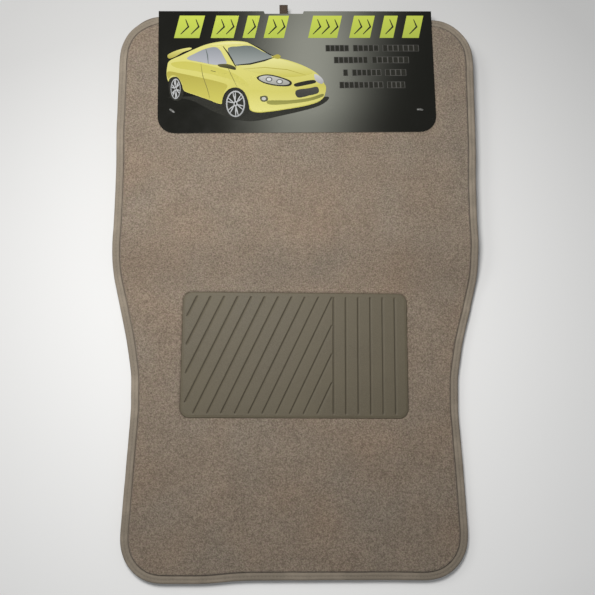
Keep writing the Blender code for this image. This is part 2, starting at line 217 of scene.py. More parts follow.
def relax_closed(values, passes):
    """Smooths a closed row of values."""
    for _ in range(passes):
        values = (np.roll(values, 1, 0) + 2 * values + np.roll(values, -1, 0)) / 4
    return values


def graded(length, edge, fine, coarse):
    """Stations from -length/2 to length/2, close together within one edge width of the ends."""
    border = np.arange(0.0, edge, fine)
    inner = np.linspace(edge, length / 2, max(2, round((length / 2 - edge) / coarse)))
    half = np.concatenate([border, inner]) - length / 2
    return np.concatenate([half[:-1], -half[::-1]])


def rounded_distance(x, y, half, radius):
    """Distance outside a rounded rectangle about the origin, negative inside it."""
    beyond_x = np.abs(x) - (half.x - radius)
    beyond_y = np.abs(y) - (half.y - radius)
    outside = np.hypot(np.maximum(beyond_x, 0), np.maximum(beyond_y, 0))
    return outside + np.minimum(np.maximum(beyond_x, beyond_y), 0) - radius


# ---------------------------------------------------------------- mesh helpers

def mesh_object(name, vertices, faces, materials, smooth=True, shade=None):
    """Object of a mesh; shade is the share of shade at its first vertices, none at the rest."""
    mesh = bpy.data.meshes.new(name)
    mesh.from_pydata(np.asarray(vertices).tolist(), [], [list(face) for face in faces])
    for material in materials:
        mesh.materials.append(material)
    if smooth:
        mesh.shade_smooth()
    obj = bpy.data.objects.new(name, mesh)
    bpy.context.scene.collection.objects.link(obj)
    if shade is not None:
        values = np.zeros(len(vertices))
        values[:shade.size] = shade.ravel()
        set_attribute(obj, "shade", "FLOAT", "POINT", values)
    return obj


def set_attribute(obj, name, kind, domain, values):
    """Adds a mesh attribute of kind FLOAT, FLOAT_VECTOR or FLOAT_COLOR."""
    attribute = obj.data.attributes.new(name, kind, domain)
    field = {"FLOAT": "value", "FLOAT_VECTOR": "vector", "FLOAT_COLOR": "color"}[kind]
    attribute.data.foreach_set(field, np.asarray(values, np.float32).ravel())


def grid_faces(rows, columns):
    """Quads of a rows x columns vertex grid, counter-clockwise seen from above."""
    row, column = np.meshgrid(np.arange(rows - 1), np.arange(columns - 1), indexing="ij")
    corner = row * columns + column
    quads = [corner, corner + 1, corner + columns + 1, corner + columns]
    return np.stack(quads, -1).reshape(-1, 4)


def ring_faces(rings, width, closed=True):
    """Quads between rings of width vertices each; closed also joins the last ring to the first."""
    ring, place = np.meshgrid(np.arange(rings if closed else rings - 1), np.arange(width),
                              indexing="ij")
    ahead = (ring + 1) % rings
    beside = (place + 1) % width
    quads = [ring * width + place, ring * width + beside, ahead * width + beside,
             ahead * width + place]
    return np.stack(quads, -1).reshape(-1, 4)


def tubes(rings):
    """Vertices and faces of closed tubes, from an array (tube, ring, side, xyz)."""
    count, length, sides = rings.shape[:3]
    last = (length - 1) * sides
    tube = ring_faces(length, sides, closed=False).tolist()
    tube += [list(range(sides))[::-1], list(range(last, last + sides))]
    faces = [[number * (last + sides) + index for index in face]
             for number in range(count) for face in tube]
    return rings.reshape(-1, 3), faces


def joined(first, second):
    """Two (vertices, faces) pairs as one."""
    count = len(first[0])
    faces = first[1] + [[count + index for index in face] for face in second[1]]
    return np.concatenate([first[0], second[0]]), faces


def sheet(half_width, ys, columns, top, bottom):
    """Vertices and faces of a closed slab: a fine grid on top, one strip for each row below.

    half_width(y) gives the edge and columns run from -1 to 1 across it; top(x, y) gives a height
    and a share of shade, bottom(y) a height. Returns ((vertices, faces), shade).
    """
    widths = half_width(ys)
    x = widths[:, None] * columns[None, :]
    y = np.repeat(ys[:, None], len(columns), 1)
    height, shade = top(x, y)
    upper = np.stack([x, y, height], -1).reshape(-1, 3)
    low = bottom(ys)
    left = np.stack([-widths, ys, low], -1)
    right = np.stack([widths, ys, low], -1)
    count = len(columns)
    rows = len(ys)
    faces = grid_faces(rows, count).tolist()
    first_left = rows * count
    first_right = first_left + rows
    for row in range(rows - 1):
        a = first_left + row
        b = first_right + row
        start = row * count
        end = start + count - 1
        faces += [[a, a + 1, b + 1, b], [start, start + count, a + 1, a],
                  [end + count, end, b, b + 1]]
    foot = list(range(count))
    last = first_left - count
    faces.append([first_left, first_right] + foot[::-1])
    faces.append([first_right + rows - 1, first_right - 1] + [last + k for k in foot])
    return (np.concatenate([upper, left, right]), faces), shade


def finish_piece(obj, body, slot, *nodes):
    """The piece stands for its CAD nodes, which it hides, and rides on their body; slot is not used.
    """
    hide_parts(*nodes)
    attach(obj, body)


def joint_named(name):
    return next(joint for joint in frame["joints"] if joint["name"] == name)


def box_of(node):
    low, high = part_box(node)
    return low, high, (low + high) / 2


# ---------------------------------------------------------------- shader helpers

def put(tree, kind, inputs=None, **settings):
    """Adds a shader node; inputs maps a socket to a value or to another node's output."""
    item = tree.nodes.new("ShaderNode" + kind)
    for key, value in settings.items():
        setattr(item, key, value)
    connect(tree, item, inputs or {})
    return item


def connect(tree, item, inputs):
    for key, value in inputs.items():
        if isinstance(value, bpy.types.NodeSocket):
            tree.links.new(value, item.inputs[key])
        else:
            item.inputs[key].default_value = value


def math_node(tree, operation, first, second):
    return put(tree, "Math", {0: first, 1: second}, operation=operation).outputs[0]


class Look:
    """A Principled material while it is put together."""

    def __init__(self, name):
        self.material = bpy.data.materials.new(name)
        self.material.use_nodes = True
        self.tree = self.material.node_tree
        self.place = put(self.tree, "TexCoord").outputs["Object"]

    def noise(self, size, detail=2.0, place=None):
        """Noise factor whose features measure about size metres."""
        vector = self.place if place is None else place
        inputs = {"Vector": vector, "Scale": 1 / size, "Detail": detail}
        return put(self.tree, "TexNoise", inputs).outputs[0]

    def times(self, first, second):
        return math_node(self.tree, "MULTIPLY", first, second)

    def plus(self, first, second):
        return math_node(self.tree, "ADD", first, second)

    def spread(self, value, low, high):
        """Maps a factor from the given window to 0..1, clamped."""
        inputs = {"Value": value, "From Min": low, "From Max": high}
        return put(self.tree, "MapRange", inputs).outputs["Result"]

    def mix(self, factor, first, second, blend_type="MIX"):
        """Colour mix; a colour is an (r, g, b) tuple or a socket."""
        first, second = [(*c, 1.0) if isinstance(c, tuple) else c for c in (first, second)]
        return put(self.tree, "Mix", {0: factor, 6: first, 7: second}, data_type="RGBA",
                   blend_type=blend_type).outputs[2]

    def attribute(self, name, output="Fac"):
        return put(self.tree, "Attribute", attribute_name=name).outputs[output]

    def shaded(self, color, dark):
        """Darkens a colour by the mesh's share of shade."""
        return self.mix(self.attribute("shade"), color, dark)

    def finish(self, color, roughness, height, relief, strength=1.0, specular=0.5, **more):
        """Feeds the shader; height is bumped with relief metres."""
        inputs = {"Height": height, "Distance": relief, "Strength": strength}
        normal = put(self.tree, "Bump", inputs).outputs["Normal"]
        return self.feed(Base_Color=color, Roughness=roughness, Specular_IOR_Level=specular,
                         Normal=normal, **more)

    def feed(self, **inputs):
        plain = {key.replace("_", " "): value for key, value in inputs.items()}
        connect(self.tree, self.tree.nodes["Principled BSDF"], plain)
        return self.material


# ---------------------------------------------------------------- materials

def carpet_material(name, light, dark, warm):
    """Cut pile: fibre and tuft grain, brushed patches and a drift of hue."""
    look = Look(name)
    fibre = look.noise(0.0012, 3.0)
    grain = look.plus(look.times(fibre, 0.55), look.times(look.noise(0.0019), 0.45))
    color = look.mix(look.spread(grain, 0.40, 0.60), dark, light)
    speckle = look.spread(look.noise(0.0024, 1.0), 0.36, 0.64)
    tinge = look.mix(speckle, (1.03, 0.985, 1.00), (0.985, 1.005, 0.94))
    color = look.mix(1.0, color, tinge, "MULTIPLY")
    drift = look.spread(look.noise(0.075), 0.30, 0.75)
    color = look.mix(drift, color, warm, "SOFT_LIGHT")
    patch = look.spread(look.noise(0.030, 4.0), 0.25, 0.75)
    tone = look.mix(patch, (0.455, 0.455, 0.455), (0.56, 0.56, 0.56))
    color = look.mix(0.7, color, tone, "OVERLAY")
    color = look.shaded(color, (0.045, 0.034, 0.024))
    return look.finish(color, 0.95, fibre, 0.0006, specular=0.15, Sheen_Weight=0.12,
                       Sheen_Roughness=0.6)


def tape_material(name, light, dark):
    """Twill tape: fine slanting ribs and a little fading where it is rubbed."""
    look = Look(name)
    place = look.attribute("tape", "Vector")
    axes = put(look.tree, "SeparateXYZ", {"Vector": place}).outputs
    slant = look.plus(look.times(axes["X"], 5200.0), look.times(axes["Y"], 5200.0))
    rib = math_node(look.tree, "SINE", slant, 0.0)
    cross = math_node(look.tree, "SINE", look.times(axes["X"], 9000.0), 0.0)
    weave = look.plus(rib, look.times(cross, 0.4))
    fleck = look.noise(0.0016, 3.0, place)
    wear = look.noise(0.022, 3.0)
    color = look.mix(look.spread(weave, -1.4, 1.4), dark, light)
    color = look.mix(look.spread(fleck, 0.30, 0.70), color, look.mix(0.5, light, color))
    worn = tuple(1.12 * c for c in light)
    color = look.mix(look.spread(wear, 0.45, 0.75), color, worn)
    color = look.shaded(color, tuple(0.35 * c for c in dark))
    return look.finish(color, 0.82, weave, 0.00007, specular=0.3)


def rubber_material(name, light, dark):
    """Moulded backing or heel pad: pebbled skin, cloudy tone, scuffed high spots."""
    look = Look(name)
    pebble = put(look.tree, "TexVoronoi", {"Vector": look.place, "Scale": 1100.0})
    grit = look.noise(0.0009, 3.0)
    cloud = look.noise(0.045, 3.0)
    skin = look.plus(pebble.outputs["Distance"], look.times(grit, 0.8))
    color = look.mix(look.spread(cloud, 0.3, 0.7), dark, light)
    scuffed = tuple(1.15 * c for c in light)
    color = look.mix(look.spread(grit, 0.35, 0.75), color, scuffed)
    color = look.shaded(color, tuple(0.30 * c for c in dark))
    rough = look.mix(cloud, (0.52, 0.52, 0.52), (0.64, 0.64, 0.64))
    return look.finish(color, rough, skin, 0.00012, specular=0.35)


def card_material(name, dark, glow):
    """Glossy printed board: black ground with a soft grey glow behind the picture."""
    look = Look(name)
    color = look.mix(look.attribute("glow"), dark, glow)
    color = look.mix(look.times(look.noise(0.0008, 1.0), 0.02), color, glow)
    scuff = look.noise(0.02, 4.0)
    rough = look.mix(look.spread(scuff, 0.35, 0.8), (0.16, 0.16, 0.16), (0.30, 0.30, 0.30))
    return look.finish(color, rough, scuff, 0.0003, 0.4, specular=0.22)


def ink_material(name):
    """Printed colours, from the colour painted on each face corner."""
    look = Look(name)
    screen = look.noise(0.0009, 1.0)
    color = look.mix(look.times(screen, 0.14), look.attribute("paint", "Color"),
                     (0.22, 0.22, 0.16))
    return look.finish(color, 0.24, screen, 0.00002, 0.4, specular=0.22)


def board_material(name, light, dark):
    """Bare grey side of the card: flecked recycled board."""
    look = Look(name)
    fleck = look.noise(0.0013, 4.0)
    color = look.mix(look.spread(fleck, 0.42, 0.62), dark, light)
    color = look.mix(look.times(look.noise(0.02, 3.0), 0.25), color, dark)
    return look.finish(color, 0.85, fleck, 0.00006)


def strand_material(name, light, dark, size, roughness, relief):
    """Twisted thread or milky nylon: a fine mottling of tone and relief."""
    look = Look(name)
    mottle = look.noise(size)
    color = look.mix(look.spread(mottle, 0.3, 0.7), dark, light)
    return look.finish(color, roughness, mottle, relief)


def floor_material(name):
    """Pale floor with painted shade darkening it to the upper left and a slight painted glow
    (emission) far from the pack.
    """
    look = Look(name)
    axes = put(look.tree, "SeparateXYZ", {"Vector": look.place}).outputs
    # Painted shade: the floor's colour darkens towards the upper left, where the lamps light it
    # most.
    diagonal = look.plus(look.times(axes["X"], -0.35), axes["Y"])
    color = look.mix(look.spread(diagonal, -0.45, 0.40), (0.93, 0.93, 0.925),
                     (0.52, 0.52, 0.517))
    # Painted light: emission brightens the floor far from the pack, where the lamps light it less.
    away = put(look.tree, "VectorMath", {0: look.place}, operation="LENGTH").outputs["Value"]
    glow = look.times(look.spread(away, 0.50, 1.25), 0.62)
    return look.feed(Base_Color=color, Roughness=0.75, Emission_Color=(0.80, 0.80, 0.79, 1.0),
                     Emission_Strength=glow)


CARPET = carpet_material("carpet_pile", (0.244, 0.203, 0.162), (0.122, 0.100, 0.077),
                         (0.54, 0.49, 0.46))
TAPE = tape_material("twill_tape", (0.258, 0.218, 0.170), (0.149, 0.125, 0.094))
THREAD = strand_material("sewing_thread", (0.278, 0.236, 0.178), (0.125, 0.104, 0.074), 0.0006,
                         0.6, 0.0001)
BACKING = rubber_material("nibbed_rubber", (0.056, 0.052, 0.047), (0.034, 0.031, 0.028))
PAD = rubber_material("moulded_vinyl", (0.094, 0.079, 0.050), (0.078, 0.064, 0.040))
CARD = card_material("printed_board", (0.0055, 0.0055, 0.0040), (0.192, 0.196, 0.168))
INK = ink_material("printed_ink")
BOARD = board_material("bare_board", (0.45, 0.43, 0.39), (0.31, 0.30, 0.27))
LOOP = tape_material("brown_tape", (0.063, 0.044, 0.030), (0.026, 0.018, 0.012))
NYLON = strand_material("milky_nylon", (0.135, 0.135, 0.128), (0.075, 0.075, 0.070), 0.0012, 0.28,
                        0.00008)


# ---------------------------------------------------------------- form of one mat

class MatForm:
    """Outline and underside of one mat, read from its CAD binding."""

    def __init__(self, prefix):
        self.prefix = prefix
        self.body = prefix
        node = frame["nodes"][prefix + "_binding"]
        low, _, middle = box_of(prefix + "_binding")
        wall = {}
        for face in node.data.polygons:
            outwards = (face.center - middle).xy
            if abs(face.normal.z) > 0.1 or face.normal.xy.dot(outwards) <= 0:
                continue
            for index in face.vertices:
                x, y, z = node.data.vertices[index].co
                key = (round(x, 5), round(y, 5))
                wall[key] = min(z, wall.get(key, z))
        corners = np.array(sorted(wall, key=lambda p: math.atan2(p[1] - middle.y, p[0] - middle.x)))
        heights = np.array([[y, wall[(x, y)]] for x, y in wall])
        chamfer = heights[:, 1].min() - low.z
        self.outline = self.resampled(corners)
        self.foot = self.outline[:, 1].min()
        self.head = self.outline[:, 1].max()
        self.rise_y = np.arange(self.foot - 0.01, self.head + 0.01, 0.001)
        heights = heights[np.argsort(heights[:, 0])]
        rise = np.interp(self.rise_y, heights[:, 0], heights[:, 1]) - chamfer
        for _ in range(FORM_PASSES):
            rise[1:-1] = (rise[:-2] + 2 * rise[1:-1] + rise[2:]) / 4
        self.rise_z = rise
        after = np.roll(self.outline, -1, 0) - np.roll(self.outline, 1, 0)
        along = after / np.linalg.norm(after, axis=1)[:, None]
        self.normals = np.stack([-along[:, 1], along[:, 0]], -1)
        turn = np.cross(along, np.roll(along, -3, 0))
        self.bend = relax_closed(turn, FORM_PASSES) / (3 * OUTLINE_STEP)
        if prefix == "driver_mat":
            self.settle()

    @staticmethod
    def resampled(corners):
        """The outline's corners as evenly spaced stations, three for each stitch."""
        closed = np.concatenate([corners, corners[:1]])
        steps = np.linalg.norm(np.diff(closed, axis=0), axis=1)
        along = np.concatenate([[0], np.cumsum(steps)])
        stitches = round(along[-1] / STITCH_PITCH)
        stations = np.linspace(0, along[-1], 3 * stitches, endpoint=False)
        points = np.stack([np.interp(stations, along, closed[:, k]) for k in (0, 1)], -1)
        return relax_closed(points, RELAX_PASSES)

    def settle(self):
        """Moves the outline in or out a little, as the mat lies in the pack."""
        half = self.outline[:, 0].max()
        moved = np.zeros(len(self.outline))
        for across, along, reach, outwards in EDGE_SETTLING:
            center = np.array((across * half, self.foot + along * (self.head - self.foot)))
            away = np.linalg.norm(self.outline - center, axis=1)
            moved += outwards * np.exp(-(away / reach) ** 4)
        self.outline = self.outline - self.normals * moved[:, None]

    def rise(self, y):
        """Height of the mat's underside at y."""
        return np.interp(y, self.rise_y, self.rise_z)

    def at(self, station):
        """Points and inward normals of the outline at fractional stations."""
        station = station % len(self.outline)
        whole = np.arange(len(self.outline) + 1)
        fields = []
        for values in (self.outline, self.normals):
            closed = np.concatenate([values, values[:1]])
            fields.append(np.stack([np.interp(station, whole, closed[:, k]) for k in (0, 1)], -1))
        return fields

    def half_width(self, y, inset):
        """Half of the width at y, measured inside the outline by an inset."""
        inner = self.outline + self.normals * inset
        right = inner[inner[:, 0] > 0]
        right = right[np.argsort(right[:, 1])]
        return np.interp(y, right[:, 1], right[:, 0])

    def edge_distance(self, x, y, reach=0.025):
        """Distance in from the outline, no more than reach."""
        distance = np.full(x.shape, reach)
        for row in range(x.shape[0]):
            close = self.outline[np.abs(self.outline[:, 1] - y[row, 0]) < reach]
            if len(close):
                gap = np.hypot(x[row][:, None] - close[:, 0], y[row][:, None] - close[:, 1])
                distance[row] = np.minimum(gap.min(1), reach)
        return distance


# ---------------------------------------------------------------- pile

def pile_relief(x, y, seed):
    """Unevenness of cut pile: tufts, brushed streaks and broad waves, in metres."""
    relief = np.random.default_rng(seed).uniform(-1, 1, x.shape) * TUFT_RELIEF
    for number, (size, squeeze, height) in enumerate(PILE_LAYERS, 1):
        relief += value_noise(x, y * squeeze, size, seed + number) * height
    return relief


def pad_dent(x, y):
    """Height of the pile's bed under the heel pad and its roll beside it, and its shade."""
    low, high, middle = box_of("driver_mat_heel_pad")
    outside = rounded_distance(x - middle.x, y - middle.y, (high - low) / 2, PAD_CORNER)
    bed = 1 - smoothstep(-0.0004, 0.0006, outside)
    height = BED_ROLL * ridge(outside, BED_ROLL_PLACE, BED_ROLL_WIDTH) - BED_DEPTH * bed
    return height, 0.6 * (1 - smoothstep(0.0, 0.0010, outside))


def card_limit(x, y):
    """Highest place for pile: just below the front panel where the panel covers it."""
    inverse = np.array(FOLD.place.inverted())
    u = inverse[0, 0] * x + inverse[0, 1] * y + inverse[0, 3]
    v = inverse[1, 0] * x + inverse[1, 1] * y + inverse[1, 3]
    inside = np.minimum(np.minimum(u - FOLD.left, FOLD.right - u), v + FOLD.length)
    free = smoothstep(0.0, -PRESSED_BORDER, inside)
    return FOLD.top.z - CARD_THICK - PRESSED_GAP + PRESSED_LIFT * free


def make_pile(form, fine, coarse, seed):
    """Carpet of one mat, with fine columns near its edge and coarse ones in its field."""
    columns = graded(2 * form.half_width(form.foot + 0.2 * (form.head - form.foot), 0.0),
                     FINE_BORDER, fine, coarse)
    columns = columns / columns[-1]
    ys = graded(form.head - form.foot - 2 * PILE_EDGE_INSET, FINE_BORDER, fine, coarse)
    ys = ys + (form.head + form.foot) / 2
    with_pad = form.prefix == "driver_mat"

    def top(x, y):
        inwards = form.edge_distance(x, y)
        grown = smoothstep(PILE_RISE_START, PILE_RISE_END, inwards)
        height = form.rise(y) + PILE_UNDER_TAPE + (PILE_HEIGHT - PILE_UNDER_TAPE) * grown
        height += PILE_LIP * ridge(inwards, PILE_LIP_INSET, PILE_LIP_WIDTH)
        height += pile_relief(x, y, seed) * (0.2 + 0.8 * grown)
        ragged = 0.42 + 0.25 * value_noise(x, y, 0.0028, seed + 4)
        shade = ragged * (1 - smoothstep(PILE_RISE_START, PILE_RISE_END, inwards))
        if with_pad:
            dent, pad_shade = pad_dent(x, y)
            height += dent
            height = np.minimum(height, card_limit(x, y))
            shade = np.maximum(shade, pad_shade)
        return height, shade

    mesh, shade = sheet(lambda y: form.half_width(y, PILE_EDGE_INSET), ys, columns, top,
                        lambda y: form.rise(y) + PILE_BOTTOM)
    obj = mesh_object(form.prefix + "_pile", *mesh, [CARPET], shade=shade)
    finish_piece(obj, form.body, "carpet", form.prefix + "_carpet")


# ---------------------------------------------------------------- binding tape and stitches

def tape_section():
    """Closed section of the folded tape: (inset, height, on the top flap) rows."""
    top = TAPE_HEIGHT - TAPE_HALF
    insets = [TAPE_WIDTH, 0.0083, 0.0076, 0.0068, 0.0061, 0.0054, STITCH_INSET, 0.0042, 0.0034]
    outer = [(d, top + TAPE_HALF, 1.0) for d in insets]
    center = TAPE_FOLD_RADIUS + TAPE_HALF
    for step in range(9):
        angle = math.radians(90 + step * 180 / 8)
        outer.append((center + center * math.cos(angle), center + center * math.sin(angle),
                      1.0 if step == 0 else 0.0))
    outer += [(STITCH_INSET, 0.0, 0.0), (TAPE_WIDTH, 0.0, 0.0)]
    inner = [(TAPE_WIDTH + TAPE_HALF, TAPE_HALF, 0.0), (TAPE_WIDTH, 2 * TAPE_HALF, 0.0)]
    for step in (8, 6, 4, 2, 0):
        angle = math.radians(90 + step * 180 / 8)
        radius = center - 2 * TAPE_HALF
        inner.append((center + radius * math.cos(angle), center + radius * math.sin(angle), 0.0))
    inner += [(STITCH_INSET, top - TAPE_HALF, 1.0), (TAPE_WIDTH, top - TAPE_HALF, 1.0),
              (TAPE_WIDTH + TAPE_HALF, top, 1.0)]
    return np.array(outer + inner)


def stitch_phase(station):
    """Angle along the stitch line, one turn for each stitch."""
    return 2 * math.pi * station * OUTLINE_STEP / STITCH_PITCH


def tape_surface(form, inset, height, on_top, station):
    """Wavy position of tape points: arrays of section points against outline stations."""
    along = station * OUTLINE_STEP

    def wander(cell, seed):
        return value_noise(along, 0 * along, cell, seed)

    inner = smoothstep(STITCH_INSET, TAPE_WIDTH, inset)
    inset = inset + TAPE_WANDER * wander(0.035, 71) * inner
    pull = STITCH_PULL + STITCH_RIPPLE * np.cos(stitch_phase(station))
    pull = pull * ridge(inset, STITCH_INSET, 0.0009)
    crown = CROWN_HEIGHT * sum(ridge(inset, place, CROWN_WIDTH) for place in CROWN_INSETS)
    tight = np.clip(form.bend[station % len(form.bend)] * PUCKER_BEND, 0, 1)
    folds = np.sin(2 * math.pi * along / PUCKER_PITCH + 2 * wander(0.03, 72))
    pucker = PUCKER_HEIGHT * tight * folds * inner
    sink = EDGE_SINK * smoothstep(EDGE_SINK_START, TAPE_WIDTH, inset)
    height = height + on_top * (crown - pull + pucker - sink)
    point = form.outline[station % len(form.outline)]
    normal = form.normals[station % len(form.outline)]
    inset = inset + TAPE_BULGE * wander(0.012, 73)
    x = point[..., 0] + normal[..., 0] * inset
    y = point[..., 1] + normal[..., 1] * inset
    return np.stack([x, y, form.rise(y) + height], -1)


def make_tape(form, stride):
    """Folded tape swept round the outline, with the weave laid along it."""
    section = tape_section()
    stations = np.arange(0, len(form.outline), stride)
    station = np.repeat(stations[:, None], len(section), 1)
    inset, height, on_top = [np.repeat(section[None, :, k], len(stations), 0) for k in range(3)]
    points = tape_surface(form, inset, height, on_top, station).reshape(-1, 3)
    faces = ring_faces(len(stations), len(section))
    ring, place = np.divmod(faces[:, 0], len(section))
    steps = np.linalg.norm(np.diff(section[:, :2], axis=0, append=section[:1, :2]), axis=1)
    around = np.concatenate([[0], np.cumsum(steps)])
    along = np.stack([ring, ring, ring + 1, ring + 1], -1) * OUTLINE_STEP * stride
    across = around[np.stack([place, place + 1, place + 1, place], -1)]
    weave = np.stack([along, across, 0 * along], -1).reshape(-1, 3)
    shade = 0.40 * smoothstep(0.0081, TAPE_WIDTH + TAPE_HALF, inset)
    # Painted shade along the stitch line, darkest where the stitches pull the tape down deepest.
    stitch_shade = (0.18 + 0.14 * np.cos(stitch_phase(station))) * ridge(inset, STITCH_INSET, 0.0006)
    shade = np.maximum(shade, stitch_shade * on_top)
    obj = mesh_object(form.prefix + "_bound_tape", points, faces, [TAPE], shade=shade)
    set_attribute(obj, "tape", "FLOAT_VECTOR", "CORNER", weave)
    finish_piece(obj, form.body, "binding", form.prefix + "_binding")


def make_stitches(form):
    """Top threads of the lockstitch: one short arched bead a stitch, ends pulled in."""
    share, size = np.array(BEAD_PROFILE).T
    count = len(form.outline) // 3
    rng = np.random.default_rng(81)
    first = np.arange(count) * 3 + rng.uniform(-0.12, 0.12, count)
    slant = rng.uniform(-0.00012, 0.00012, count)
    along = first[:, None] + 3 * (0.5 + (share - 0.5) * STITCH_LENGTH / STITCH_PITCH)
    point, normal = form.at(along)
    inset = STITCH_INSET + slant[:, None] * (2 * share - 1)
    middle = point + normal * inset[..., None]
    arch = 0.00022 * np.sin(math.pi * share) - 0.00018
    height = form.rise(middle[..., 1]) + TAPE_HEIGHT - 0.0002 + arch
    angle = -2 * math.pi * np.arange(THREAD_SIDES) / THREAD_SIDES
    radius = (THREAD_RADIUS * size)[:, None]
    flat = middle[:, :, None] + normal[:, :, None] * (radius * np.cos(angle))[None, ..., None]
    up = height[..., None] + radius * np.sin(angle)
    beads = np.concatenate([flat, up[..., None]], -1)
    obj = mesh_object(form.prefix + "_stitches", *tubes(beads), [THREAD])
    finish_piece(obj, form.body, "thread", form.prefix + "_stitching")


# ---------------------------------------------------------------- backing

def nib_rings(form):
    """Rings of blunt six-sided cones on a triangular grid under one mat."""
    row_step = NIB_PITCH * math.sqrt(3) / 2
    rows = int((form.head - form.foot - 2 * NIB_MARGIN) / row_step) + 1
    cones = []
    for row in range(rows):
        y = form.foot + NIB_MARGIN + row * row_step
        half = form.half_width(y, NIB_MARGIN)
        reach = int(half / NIB_PITCH) + 1
        for column in range(-reach, reach + 1):
            x = (column + row % 2 / 2) * NIB_PITCH
            if abs(x) <= half:
                cones.append([[(*point, form.rise(y) + height)
                               for point in arc_points((x, y), radius, 0, 360, 6)[:-1]]
                              for radius, height in NIB_LEVELS])
    return np.array(cones)


def make_backing(form):
    """Rubber sheet with rows of blunt nibs under it."""
    span = form.head - form.foot - 2 * PILE_EDGE_INSET
    ys = graded(span, 0.02, 0.004, 0.008) + (form.head + form.foot) / 2
    mesh, shade = sheet(lambda y: form.half_width(y, PILE_EDGE_INSET), ys, np.linspace(-1, 1, 9),
                        lambda x, y: (form.rise(y) + SHEET_HIGH, 0 * x),
                        lambda y: form.rise(y) + SHEET_LOW)
    obj = mesh_object(form.prefix + "_nibbed_backing", *joined(mesh, tubes(nib_rings(form))),
                      [BACKING], smooth=False, shade=shade)
    finish_piece(obj, form.body, "backing", form.prefix + "_backing")


# ---------------------------------------------------------------- heel pad

def pad_grooves(half_x, half_y):
    """Ends of the pad's grooves from its middle: straight ones right, slanting ones left."""
    reach = half_y - GROOVE_MARGIN - GROOVE_HALF
    grooves = []
    for index in range(1, STRAIGHT_COUNT + 1):
        x = half_x - index * STRAIGHT_PITCH
        grooves.append(((x, -reach), (x, reach)))
    right = half_x - STRAIGHT_COUNT * STRAIGHT_PITCH - DIVIDER_GAP
    left = GROOVE_MARGIN + GROOVE_HALF - half_x
    slope = math.tan(SLANT_ANGLE)
    top_x = right + 2 * reach * slope // SLANT_PITCH * SLANT_PITCH
    while top_x > left:
        high = min(reach, reach - (top_x - right) / slope)
        low = max(-reach, reach - (top_x - left) / slope)
        if high - low > 4 * GROOVE_HALF:
            grooves.append(((top_x - (reach - low) * slope, low),
                            (top_x - (reach - high) * slope, high)))
        top_x -= SLANT_PITCH
    return grooves


def groove_offset(x, y, grooves):
    """Distance to the nearest groove's line, minus to its left and plus to its right."""
    offset = np.full(x.shape, 1.0)
    for (ax, ay), (bx, by) in grooves:
        dx = bx - ax
        dy = by - ay
        t = np.clip(((x - ax) * dx + (y - ay) * dy) / (dx * dx + dy * dy), 0, 1)
        away = np.hypot(x - ax - t * dx, y - ay - t * dy)
        right = (x - ax) * dy - (y - ay) * dx > 0
        offset = np.where(away < np.abs(offset), np.where(right, away, -away), offset)
    return offset


def make_heel_pad(form):
    """Moulded pad with rolled edges and grooves that are steep on the left, gentle on the right."""
    low, high, middle = box_of("driver_mat_heel_pad")
    half = (high - low) / 2
    pad_top = high.z - float(form.rise(middle.y))
    pad_bottom = low.z - float(form.rise(middle.y))
    grooves = pad_grooves(half.x, half.y)
    step = 0.00066
    ys = graded(2 * half.y, 0.004, 0.0004, step)
    columns = graded(2 * half.x, 0.004, 0.0004, step) / half.x

    def half_width(y):
        beyond = np.maximum(np.abs(y) - (half.y - PAD_CORNER), 0)
        drop = PAD_CORNER - np.sqrt(np.maximum(PAD_CORNER ** 2 - beyond ** 2, 0))
        return half.x - drop

    def top(x, y):
        inwards = -rounded_distance(x, y, half, PAD_CORNER)
        offset = groove_offset(x, y, grooves)
        groove = 1 - np.where(offset < 0, smoothstep(*STEEP_SIDE, -offset),
                              smoothstep(*GENTLE_SIDE, offset))
        rim = 1 - smoothstep(PAD_RIM - 0.0012, PAD_RIM, inwards)
        rolled = 1 - np.sqrt(np.clip(inwards / PAD_EDGE_RADIUS, 0, 1))
        height = -GROOVE_DEPTH * groove - PAD_RIM_DROP * rim - PAD_EDGE_DROP * rolled
        for size, amount, seed in PAD_LAYERS:
            height += value_noise(x, y, size, seed) * amount
        shade = 0.80 * ridge(offset, -STEEP_SIDE[0], 0.00055)
        return form.rise(y + middle.y) + pad_top + height, shade

    mesh, shade = sheet(half_width, ys, columns, top,
                        lambda y: form.rise(y + middle.y) + pad_bottom)
    obj = mesh_object("moulded_heel_pad", *mesh, [PAD], shade=shade)
    obj.data.transform(Matrix.Translation((middle.x, middle.y, 0)))
    finish_piece(obj, form.body, "heel_pad", "driver_mat_heel_pad")


# ---------------------------------------------------------------- card

class Fold:
    """The card's upper crease: x runs along it, y away from the mats, z up."""

    def __init__(self):
        joint = joint_named("front_fold")
        along = -Vector(joint["axis"]).normalized()
        self.top = Vector(joint["pos_m"])
        turn = math.atan2(along.y, along.x)
        self.place = Matrix.Translation(self.top) @ Matrix.Rotation(turn, 4, "Z")
        inverse = self.place.inverted()
        panel = [inverse @ v.co for v in frame["nodes"]["header_card_front"].data.vertices]
        self.left = min(p.x for p in panel)
        self.right = max(p.x for p in panel)
        self.length = -min(p.y for p in panel)
        self.drop = self.top.z - joint_named("spine_fold")["pos_m"][2]


FOLD = Fold()


def panel_wave(x, y):
    """Height of the front panel's slight waviness; nothing at the crease."""
    free = smoothstep(0.0, 0.030, -y)
    lift = CARD_REST + CARD_LIFT * smoothstep(0.6, 1.0, -y / FOLD.length)
    return free * (CARD_WAVE * value_noise(x + 1, y + 1, 0.055, 61) + lift)


def arc_points(center, radius, start, end, steps=8):
    angles = np.radians(np.linspace(start, end, steps + 1))
    return [(center[0] + radius * math.cos(a), center[1] + radius * math.sin(a)) for a in angles]


